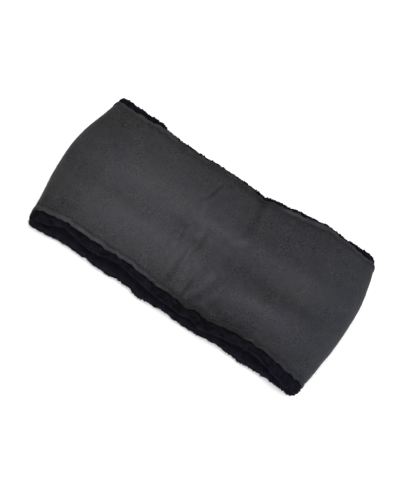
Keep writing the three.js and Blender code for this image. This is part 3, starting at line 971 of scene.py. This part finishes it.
def plush_lining(shift, material):
    """The plush band inside it, with a tufted roll past each hem."""
    path = loop_path(PLUSH_STEPS)
    near, far = hems_of(path)
    width = far - near
    seam = SEAM_DEPTH * path["seam"]
    roll = rounded(PLUSH_ROLL, POINTS_PER_ROW)
    roll_depth = PLUSH_OUTER - ROLL_FLARE + roll[:, 1] * (PLUSH_THICKNESS + ROLL_FLARE + ROLL_BULGE)
    near_reach = ROLL_REACH * edge_value(path, "near_roll") - CLEARANCE
    far_reach = ROLL_REACH * edge_value(path, "far_roll") - CLEARANCE
    outer, inner = PLUSH_OUTSIDE, PLUSH_INSIDE
    rows = np.ones((PLUSH_STEPS, 1))
    y = np.concatenate(
        (
            near - CLEARANCE - roll[::-1, 0] * near_reach,
            near + outer * width,
            far + CLEARANCE + roll[:, 0] * far_reach,
            near + inner * width,
        ),
        axis=1,
    )
    outer_depth, inner_depth = PLUSH_OUTER + seam + 0 * outer, rows * PLUSH_INNER + 0 * inner
    depths = (rows * roll_depth[::-1], outer_depth, rows * roll_depth, inner_depth)
    points = place(path, y, np.concatenate(depths, axis=1))
    normals = grid_normals(points)

    def by_part(on_roll, on_outside, on_inside):
        """One value for each point of a section, from those of its parts."""
        outside, inside = on_outside * np.ones(len(outer)), on_inside * np.ones(len(inner))
        return np.concatenate((on_roll[::-1], outside, on_roll, inside))

    tufted = smooth_step(np.arange(len(roll)), *TUFTS_BEGIN)
    rolls = by_part(tufted, 0, 0)
    tufts = nub_field(points, TUFT_SPACING, TUFT_SEED) - TUFT_LEVEL
    fine = noise_field(points, TUFT_SPACING / 3, FINE_TUFT_SEED)
    bulge = np.abs(along_path(path, BULGE_SPACING, BULGE_SEED)) / NOTCH_WIDTH
    notch = NOTCH_DEPTH * np.exp(-bulge * bulge)
    wave = WAVE_HEIGHT * noise_field(points, WAVE_SPACING, WAVE_SEED) - notch
    height = by_part(tufted, 0, 1) * TUFT_HEIGHT * (tufts + FINE_TUFT_SHARE * fine) + rolls * wave
    points = points + normals * height[..., None] + shift
    points[..., 2] = np.maximum(points[..., 2], FLOOR_CLEARANCE)

    # Painted highlight along the upper rims, painted shade on the lower rims and painted light in the hollow
    rim = np.exp(-(((np.arange(len(roll)) - RIM_ROW * POINTS_PER_ROW) / RIM_WIDTH) ** 2))
    hollow = by_part(smooth_step(roll[:, 1], *HOLLOW_BEGINS), 0, 1)
    # Painted light on the tufts and painted shade between them, with random clumps of tone
    tuft_shade_and_clumps = TUFT_PAINTED_LIGHT * (tufts - TUFT_LIGHT_LEVEL) + CLUMP_NAP * noise_field(points, CLUMP_SPACING, CLUMP_SEED)
    rim_light_and_shade = by_part(rim, 0, 0) * (RIM_PAINTED_HIGHLIGHT * path["top"] - RIM_PAINTED_SHADE * (1 - path["top"]))
    nap_and_painted_light = ROLL_NAP + rim_light_and_shade + HOLLOW_PAINTED_LIGHT * hollow * (1 - path["top"])
    nap_and_painted_light = nap_and_painted_light + np.maximum(tuft_shade_and_clumps, DARKEST_CLUMP) * rolls
    lining = loop_mesh("plush_pile_lining", points, material)
    set_nap_and_painted_light(lining, nap_and_painted_light)
    return lining, points, normals, rolls * rows, nap_and_painted_light


# Places along the line of the stitches, and how many of them each way give its direction
STITCH_LINE_STEPS = 4 * FLEECE_STEPS
LINE_REACH = 3


def hem_stitches(shift, material):
    """Lockstitches in the groove inside each hem, dyed to match."""
    path = loop_path(STITCH_LINE_STEPS)
    near, far = rippled_hems(path)
    inwards = STITCH_ROW * HEM_WIDTH
    bpy.ops.mesh.primitive_uv_sphere_add(segments=8, ring_count=6, radius=1)
    pattern = taken_shape(bpy.context.object)
    count = round(path["length"] / STITCH_PITCH)
    starts = np.arange(count) * path["length"] / count

    def at_starts(points):
        stations, whole = path["far"][:, 0], path["length"]
        return np.stack([np.interp(starts, stations, column, period=whole) for column in points.T], axis=1)

    centres, along, side, up = [], [], [], []
    for line in (near + inwards, far - inwards):
        thread = place(path, line, STITCH_DEPTH - THREAD_RADIUS)[:, 0] + shift
        above = place(path, line, STITCH_DEPTH - THREAD_RADIUS - MM)[:, 0] + shift
        ahead, behind = np.roll(thread, -LINE_REACH, axis=0), np.roll(thread, LINE_REACH, axis=0)
        forward = unit(at_starts(ahead - behind))
        beside = unit(np.cross(at_starts(above - thread), forward))
        centres.append(at_starts(thread))
        along.append(forward * STITCH_LENGTH / 2)
        side.append(beside * THREAD_RADIUS)
        up.append(np.cross(forward, beside) * THREAD_RADIUS)
    axes = [np.concatenate(part) for part in (centres, along, side, up)]
    return scattered("hem_stitches", pattern, *axes, material)


def on_surface(points, normals, share, nap_and_painted_light, count, random):
    """Random places on a loop's surface, with the way out and the nap and painted light there. They
    lie most thickly where share is 1, and none where it is 0."""
    along = np.roll(points, -1, axis=0) - points
    around = np.roll(points, -1, axis=1) - points
    area = np.linalg.norm(np.cross(along, around), axis=-1) * share
    chosen = random.choice(area.size, size=count, p=(area / area.sum()).ravel())
    ring, point = np.unravel_index(chosen, area.shape)
    spread = random.random((count, 2, 1))
    places = points[ring, point] + along[ring, point] * spread[:, 0] + around[ring, point] * spread[:, 1]
    return places, normals[ring, point], nap_and_painted_light[ring, point]


def leaning(out, tangle, upright):
    """Directions between straight out of the pile, where upright is 1, and all ways, where it is 0."""
    return unit(out * upright + unit(tangle) * (1 - upright))


def fleece_fibres(surface, material):
    """Fibres that the brush raised out of the fleece, each a fine closed cone. They are drawn thicker
    than real ones, so that they show."""
    random = np.random.default_rng(FIBRE_SEED)
    places, out, nap_and_painted_light = on_surface(*surface, FIBRE_COUNT, random)
    tangle = random.normal(size=(FIBRE_COUNT, 3))
    direction = leaning(out, tangle, FIBRE_UPRIGHT)
    side = unit(np.cross(direction, tangle))
    length = FIBRE_LENGTH * random.uniform(*FIBRE_LENGTHS, (FIBRE_COUNT, 1))
    fibres = scattered(
        "fleece_raised_fibres", cone_pattern(3, FIBRE_RINGS), places - out * FIBRE_RADIUS, direction * length,
        side * FIBRE_RADIUS, np.cross(direction, side) * FIBRE_RADIUS, material,
    )
    # Each fibre takes the painted light and shade of the fleece where it grows
    set_copies_nap_and_painted_light(fibres, nap_and_painted_light + random.uniform(-FIBRE_NAP_SPREAD, FIBRE_NAP_SPREAD, FIBRE_COUNT))
    return fibres


def plush_locks(surface, material):
    """The small locks of pile that stand up on the plush rolls, rooted a third of the way in."""
    random = np.random.default_rng(LOCK_SEED)
    places, out, nap_and_painted_light = on_surface(*surface, LOCK_COUNT, random)
    tangle = random.normal(size=(LOCK_COUNT, 3))
    direction = leaning(out, tangle, LOCK_UPRIGHT)
    side = unit(np.cross(direction, tangle))
    length = LOCK_LENGTH * random.uniform(*LOCK_LENGTHS, (LOCK_COUNT, 1))
    girth = LOCK_RADIUS * random.uniform(*LOCK_GIRTHS, (LOCK_COUNT, 1))
    locks = scattered(
        "plush_pile_locks", cone_pattern(5, LOCK_RINGS), places - direction * length / 3, direction * length,
        side * girth, np.cross(direction, side) * girth, material,
    )
    # Each lock takes the painted light and shade of the plush where it stands
    set_copies_nap_and_painted_light(locks, nap_and_painted_light + random.uniform(-LOCK_NAP_SPREAD, LOCK_NAP_SPREAD, LOCK_COUNT))
    return locks


# Studio

FLOOR_SIZE = 6
AIR_BRIGHTNESS = 0.66

# Each softbox's name, place, side and power
SOFTBOXES = (
    ("overhead_softbox", (0.1, 0.3, 1.6), 1.4, 19),
    ("near_key_softbox", (-0.5, -1.2, 1.0), 0.5, 12),
    ("right_softbox", (1.5, 0.1, 0.5), 0.6, 10),
)


def studio_floor():
    bpy.ops.mesh.primitive_plane_add(size=FLOOR_SIZE, location=(0, 0, 0))
    floor = bpy.context.object
    floor.name = "studio_floor"
    floor.data.materials.append(white_studio_paper())


def soft_light(name, location, size, power):
    """A square softbox, aimed at the headband."""
    lamp = bpy.data.lights.new(name, "AREA")
    lamp.size = size
    lamp.energy = power
    holder = bpy.data.objects.new(name, lamp)
    holder.location = location
    holder.rotation_euler = (-Vector(location)).to_track_quat("-Z", "Y").to_euler()
    bpy.context.scene.collection.objects.link(holder)


def studio_lights():
    for softbox in SOFTBOXES:
        soft_light(*softbox)
    world = bpy.data.worlds.new("studio_air")
    world.use_nodes = True
    world.node_tree.nodes["Background"].inputs["Color"].default_value = (1, 1, 1, 1)
    world.node_tree.nodes["Background"].inputs["Strength"].default_value = AIR_BRIGHTNESS
    bpy.context.scene.world = world
    bpy.context.scene.view_settings.view_transform = "Standard"


# The camera looks down over the near hem and is rolled, so that the band runs down to the right.
# The frame's height and the offset of its aim are in pixels.
ELEVATION = math.radians(65)
ROLL = math.radians(32.8)
DISTANCE = 0.85
MM_PER_PIXEL = 0.738 * MM
FRAME_HEIGHT = 500
SENSOR_WIDTH = 36
AIM_OFFSET = (-5.2, -8.1)


def studio_camera():
    level = Vector((1, 0, 0))
    rise = Vector((0, math.sin(ELEVATION), math.cos(ELEVATION)))
    back = Vector((0, -math.cos(ELEVATION), math.sin(ELEVATION)))
    right = level * math.cos(ROLL) + rise * math.sin(ROLL)
    up = rise * math.cos(ROLL) - level * math.sin(ROLL)
    aim = Vector((0, 0, cad_high.z / 2)) + (right * AIM_OFFSET[0] + up * AIM_OFFSET[1]) * MM_PER_PIXEL
    lens = bpy.data.cameras.new("studio_camera")
    lens.sensor_width = SENSOR_WIDTH
    lens.lens = lens.sensor_width * DISTANCE / (FRAME_HEIGHT * MM_PER_PIXEL)
    camera = bpy.data.objects.new("studio_camera", lens)
    turn = Matrix((right, up, back)).transposed().to_4x4()
    camera.matrix_world = Matrix.Translation(aim + back * DISTANCE) @ turn
    bpy.context.scene.collection.objects.link(camera)
    bpy.context.scene.camera = camera


studio_camera()
studio_lights()
studio_floor()

middle = frame_shift()
fleece = brushed_fleece()
plush = black_plush()
shell, *shell_surface = outer_shell(middle, fleece)
lining, *lining_surface = plush_lining(middle, plush)
stitches = hem_stitches(middle, sewing_thread())
fibres = fleece_fibres(shell_surface, fleece)
locks = plush_locks(lining_surface, plush)

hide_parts("outer_shell")
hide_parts("plush_lining")
for piece, slot_name in (
    (shell, "fleece"),
    (stitches, "fleece"),
    (fibres, "fleece"),
    (lining, "plush"),
    (locks, "plush"),
):
    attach(piece, "root")
